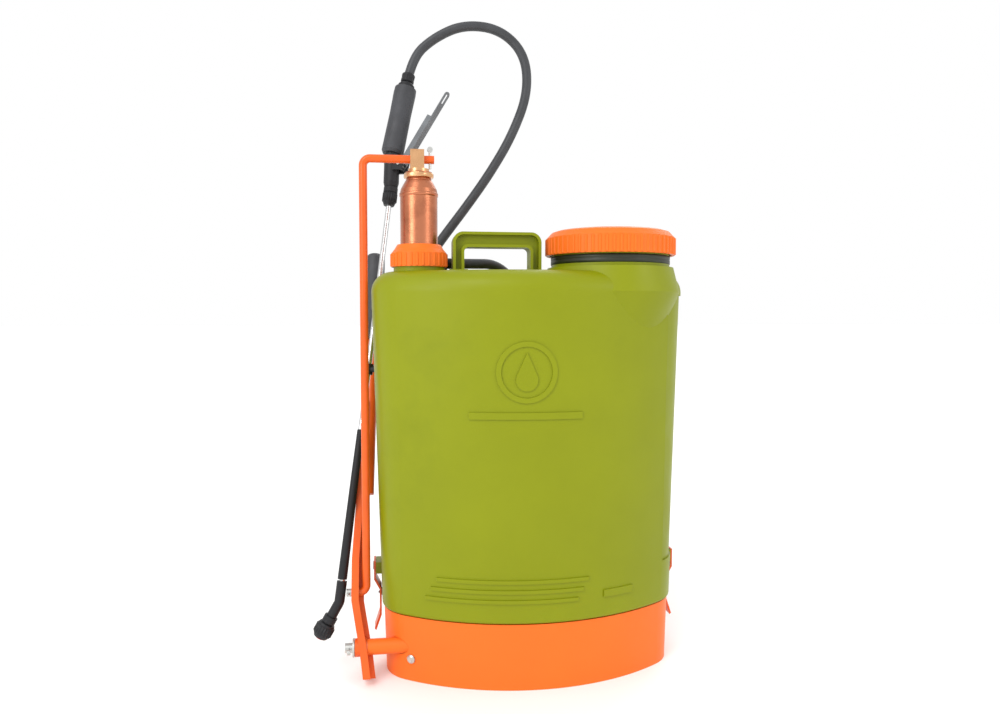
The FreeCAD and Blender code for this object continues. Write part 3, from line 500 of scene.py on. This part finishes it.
def make_hose():
    """The hose, and a crimped ferrule at each end of it."""
    path = hose_centreline()
    hose = mesh_tube("hose_tube", path, HOSE_RADIUS, 24)
    dress(hose, HOSE, "frame")
    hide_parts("hose")
    profile = [(6.8, 0.0), (8.6, 0.0), (9.2, 1.2), (9.2, 4.5, RIBBED), (8.6, 6.0, RIBBED),
               (9.2, 7.5, RIBBED), (9.2, 11.0), (8.6, 12.2), (6.8, 12.2)]
    for name, start, after in (("outlet", path[0], path[1]), ("hand", path[-1], path[-2])):
        inward = (after - start).normalized()
        trim(f"hose_ferrule_{name}", profile, start + inward * MM, inward, 60,
             BLACK, "frame", 12, 0.7)


# ------------------------------------------------------------------ turned trim
PUMP_AXIS = Vector((-0.140, 0.0, 0.0))
FILLER_AXIS = Vector((0.104, 0.0, 0.0))
LANCE_LOW = Vector((-0.2406, 0.0072, 0.100))
LANCE_TOP = Vector((-0.1739, 0.1105, 0.6195))
LANCE = (LANCE_TOP - LANCE_LOW).normalized()
NOZZLE = Vector((-0.46, -0.04, -0.80)).normalized()
ELBOW_BEFORE_BEND = 12 * MM
ELBOW_AFTER_BEND = 20 * MM


def make_upper_trim():
    """A scalloped collar and a shoulder ring on the air chamber, and a near-black ring over the
    filler neck, the neck's own dark green with the shade under the cap painted in.
    """
    trim("chamber_collar",
         [(15.2, 618.0), (17.8, 618.0), (18.6, 619.0, RIBBED), (18.6, 622.5, RIBBED),
          (17.8, 623.6), (15.2, 623.6)],
         PUMP_AXIS, Z_AXIS, 96, BRASS, "plunger", 6, 1.0)
    trim("chamber_shoulder_ring", [(23.1, 595.0), (23.8, 595.5), (23.8, 599.0), (23.1, 599.6)],
         PUMP_AXIS, Z_AXIS, 96, COPPER, "plunger")
    trim("neck_shade_ring",
         [(74.8, 512.8), (75.7, 513.2), (75.7, 517.6), (75.2, 518.2), (75.7, 518.8),
          (75.7, 523.0), (74.8, 523.4)],
         FILLER_AXIS, Z_AXIS, 144, NECK_SHADE, "frame")


def make_lance_trim():
    """The nozzle's tip and knurl, the lance's sleeve, and the knurl and seat of its nut."""
    nozzle_start = LANCE_LOW - LANCE * ELBOW_BEFORE_BEND + NOZZLE * ELBOW_AFTER_BEND
    trim("nozzle_tip", [(1.2, 28.0), (1.2, 30.8), (5.2, 30.6), (7.2, 29.4), (8.4, 28.6)],
         nozzle_start, NOZZLE, 48, RED, "nozzle")
    trim("nozzle_knurl", [(10.9, 13.0), (12.4, 13.6, RIBBED), (12.4, 23.8, RIBBED), (10.9, 24.6)],
         nozzle_start, NOZZLE, 120, BLACK, "nozzle", 20, 1.1)
    trim("lance_sleeve",
         [(3.7, 16.0), (5.8, 16.0), (6.0, 18.0), (5.2, 150.0), (4.6, 205.0), (3.7, 206.0)],
         LANCE_LOW, LANCE, 40, BLACK, "frame")
    trim("lance_nut_knurl",
         [(8.6, -17.0), (10.1, -16.4, RIBBED), (10.1, -5.0, RIBBED), (8.6, -4.4)],
         LANCE_TOP, LANCE, 120, BLACK, "frame", 18, 1.0)
    trim("lance_nut_seat", [(7.0, 2.6), (8.6, 2.6), (8.6, 4.8), (7.0, 4.8)],
         LANCE_TOP, LANCE, 48, BLACK, "frame")


# ------------------------------------------------------------------ harness
PAD_LINE_MM = ((101.5, 474), (116.5, 461), (138.5, 426), (150.5, 379), (152.5, 321), (145, 265),
               (131, 221))
PAD_THICK = 13.5 * MM
PAD_WIDTH = 52 * MM
PAD_BLANK_MARGIN = 3 * MM
PAD_BLANK_THINNER = 2.2 * MM
PAD_SWELL = 2.6 * MM
STRAP_X = 62 * MM
LANES = (-15.5 * MM, 15.5 * MM)
LANE_WIDE = 2.2 * MM
QUILT_SHARES = (0.2, 0.5, 0.8)
QUILT_WIDE = 2.6 * MM
CHANNEL_DEEP = 1.6 * MM
PIPING_RADIUS = 1.3 * MM
TAPE_WIDTH = 24 * MM
TAPE_THICK = 1.6 * MM
WEBBING_WIDTH = 30 * MM
WEBBING_THICK = 2 * MM
STITCH_RADIUS = 0.45 * MM
STITCH_LENGTH = 5 * MM
STITCH_SIDES = 6


def pad_up(line, index):
    """The direction straight out of the pad's face at a point of its line."""
    return X_AXIS.cross(tangent_at(line, index)).normalized()


def pad_blank(name, x):
    """A flat bolster along the shoulder line, a little smaller than the finished pad."""
    line = smooth_line([(x, y * MM, z * MM) for y, z in PAD_LINE_MM], 8)
    corners = 20
    rings = []
    for index, point in enumerate(line):
        up = pad_up(line, index)
        share = index / (len(line) - 1)
        to_end = min(share, 1 - share)
        half_wide = (PAD_WIDTH / 2 - PAD_BLANK_MARGIN) * min(1.0, 0.72 + 3.2 * to_end)
        half_thick = (PAD_THICK / 2 - PAD_BLANK_THINNER) * min(1.0, 0.6 + 4 * to_end)
        ring = []
        for step in range(corners):
            c = math.cos(turn(step, corners))
            s = math.sin(turn(step, corners))
            ring.append(point + X_AXIS * math.copysign(abs(c) ** 0.6, c) * half_wide
                        + up * math.copysign(abs(s) ** 0.75, s) * half_thick)
        rings.append(ring)
    return skin(name, rings), line


def puff(obj, cap, voxel=4.5 * MM, pressure=4.0):
    """Blow the pad up as cloth, and keep the result, with no point moved past the cap."""
    remesh = obj.modifiers.new("remesh", "REMESH")
    remesh.mode = "VOXEL"
    remesh.voxel_size = voxel
    obj.data = final_mesh(obj)
    obj.modifiers.clear()
    rest = [vertex.co.copy() for vertex in obj.data.vertices]
    modifier = obj.modifiers.new("cloth", "CLOTH")
    modifier.settings.quality = 6
    modifier.settings.use_pressure = True
    modifier.settings.uniform_pressure_force = pressure
    modifier.settings.effector_weights.gravity = 0.0
    for number in range(1, 21):
        scene.frame_set(number)
    blown = final_mesh(obj)
    obj.modifiers.clear()
    for vertex, start, end in zip(obj.data.vertices, rest, blown.vertices):
        move = end.co - start
        if move.length > cap:
            move *= cap / move.length
        vertex.co = start + move
    bpy.data.meshes.remove(blown)
    scene.frame_set(1)


def soften(obj):
    """Halve the mesh's facets once and keep the result."""
    smooth = obj.modifiers.new("fine", "SUBSURF")
    smooth.levels = 1
    smooth.render_levels = 1
    obj.data = final_mesh(obj)
    obj.modifiers.clear()


def nearest_on(line, point):
    """The number of the line's nearest point."""
    return min(range(len(line)), key=lambda number: (line[number] - point).length_squared)


def quilt(pad, line, x):
    """Press two sewn channels along the pad and three across it."""
    for vertex in pad.data.vertices:
        index = nearest_on(line, vertex.co)
        tangent = tangent_at(line, index)
        up = pad_up(line, index)
        height = (vertex.co - line[index]).dot(up)
        dent = 0.0
        for lane in LANES:
            dent = max(dent, math.exp(-((vertex.co.x - x - lane) / LANE_WIDE) ** 2))
        for share in QUILT_SHARES:
            row = line[int(share * (len(line) - 1))]
            dent = max(dent, 0.9 * math.exp(-((vertex.co - row).dot(tangent) / QUILT_WIDE) ** 2))
        vertex.co -= up * math.copysign(min(abs(height), CHANNEL_DEEP), height) * dent
    for polygon in pad.data.polygons:
        polygon.use_smooth = True


def make_piping(pad, name, line, x):
    """A cord along both edges, on the widest line of the blown pad."""
    widest = [PAD_WIDTH / 4] * len(line)
    for vertex in pad.data.vertices:
        index = nearest_on(line, vertex.co)
        widest[index] = max(widest[index], abs(vertex.co.x - x))
    for side, word in ((-1, "inner"), (1, "outer")):
        edge = []
        for index in range(4, len(line) - 4):
            half = sum(widest[index - 1:index + 2]) / 3
            edge.append(line[index] + X_AXIS * side * half)
        dress(mesh_tube(f"{name}_piping_{word}", edge, PIPING_RADIUS, 10), WEBBING, "frame")


def make_pad(name, x, node):
    """A blown and quilted shoulder pad with its piping and the tape sewn over its outer face."""
    pad, line = pad_blank(name, x)
    puff(pad, PAD_SWELL)
    soften(pad)
    quilt(pad, line, x)
    dress(pad, PADDING, "frame")
    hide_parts(node)
    make_piping(pad, name, line, x)
    run = []
    for index, point in enumerate(line):
        up = pad_up(line, index)
        outward = up if up.y >= 0 else -up
        run.append(point + outward * (PAD_THICK / 2 + 0.2 * MM))
    tape = strap(f"{name}_band", run, [X_AXIS] * len(run), TAPE_WIDTH, TAPE_THICK)
    dress(tape, WEBBING, "frame")


def stitches(name, starts, along):
    """Short thread runs standing just proud of the cloth."""
    direction = Vector(along).normalized()
    normal = direction.orthogonal().normalized()
    side = direction.cross(normal)
    vertices, faces = [], []
    for start in starts:
        first = len(vertices)
        for end in (0.0, STITCH_LENGTH):
            for step in range(STITCH_SIDES):
                vertices.append(start + direction * end
                                + round_offset(normal, side, turn(step, STITCH_SIDES),
                                               STITCH_RADIUS))
        last = first + STITCH_SIDES
        for step in range(STITCH_SIDES):
            after = (step + 1) % STITCH_SIDES
            faces.append((first + step, first + after, last + after, last + step))
        faces.append(tuple(range(first, last)))
        faces.append(tuple(range(last, last + STITCH_SIDES)))
    return new_object(name, vertices, faces)


class LowerStrap:
    """The webbing on one side, from the base's bracket up to the pad's lower end."""

    def __init__(self, side, word):
        self.side = side
        self.word = word
        self.x = side * STRAP_X
        self.low = Vector((side * 0.183, 0.0695, 0.066))
        self.high = Vector((self.x + side * 0.008, 0.132, 0.210))
        self.run = self.high - self.low
        self.across = Y_AXIS.cross(self.run).normalized()

    def place(self, share):
        """A point on the sagging centre line."""
        sag = Vector((0, -0.0035, -0.002))
        return self.low + self.run * share + sag * math.sin(math.pi * share)

    def make_webbing(self):
        """The band itself; the left one stands for the CAD piece, which holds both bands."""
        centres = [self.place(step / 20 * 0.985) + Y_AXIS * 1.5 * MM for step in range(21)]
        band = strap(f"lower_webbing_{self.word}", centres, [self.across] * len(centres),
                     WEBBING_WIDTH, WEBBING_THICK)
        dress(band, WEBBING, "frame")
        if self.side == -1:
            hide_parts("strap_webbing")

    def make_tail(self):
        """The narrow tape from the pad's end that doubles back over the band."""
        tail = smooth_line([(self.x, 0.1375, 0.250), (self.x, 0.1335, 0.228),
                            (self.x + self.side * 0.002, 0.1300, 0.216),
                            self.high + Vector((0, 0.0035, -0.002)),
                            self.low + self.run * 0.9 + Y_AXIS * 4 * MM,
                            self.low + self.run * 0.66 + Y_AXIS * 4.5 * MM], 5)
        wide = -self.across if self.across.x < 0 else self.across
        turns = [X_AXIS.lerp(wide, min(1.0, index / (len(tail) * 0.55)))
                 for index in range(len(tail))]
        dress(strap(f"pad_tail_{self.word}", tail, turns, TAPE_WIDTH, TAPE_THICK), WEBBING,
              "frame")

    def make_stitches(self):
        """Two rows of stitches along the band."""
        rows = []
        for lane in (-11 * MM, 11 * MM):
            for step in range(16):
                rows.append(self.place(0.06 + step * 0.055) + self.across * lane
                            + Y_AXIS * 2.6 * MM)
        dress(stitches(f"webbing_stitch_{self.word}", rows, self.run), THREAD, "frame")


def make_harness():
    """Both shoulder straps."""
    for side, word in ((-1, "left"), (1, "right")):
        make_pad(f"shoulder_pad_{word}", side * STRAP_X, f"strap_pad_{word}")
        lower = LowerStrap(side, word)
        lower.make_webbing()
        lower.make_tail()
        lower.make_stitches()


# ------------------------------------------------------------------ the whole scene
make_camera()
make_light()
make_floor()
paint_frame()
make_hose()
make_upper_trim()
make_lance_trim()
make_harness()
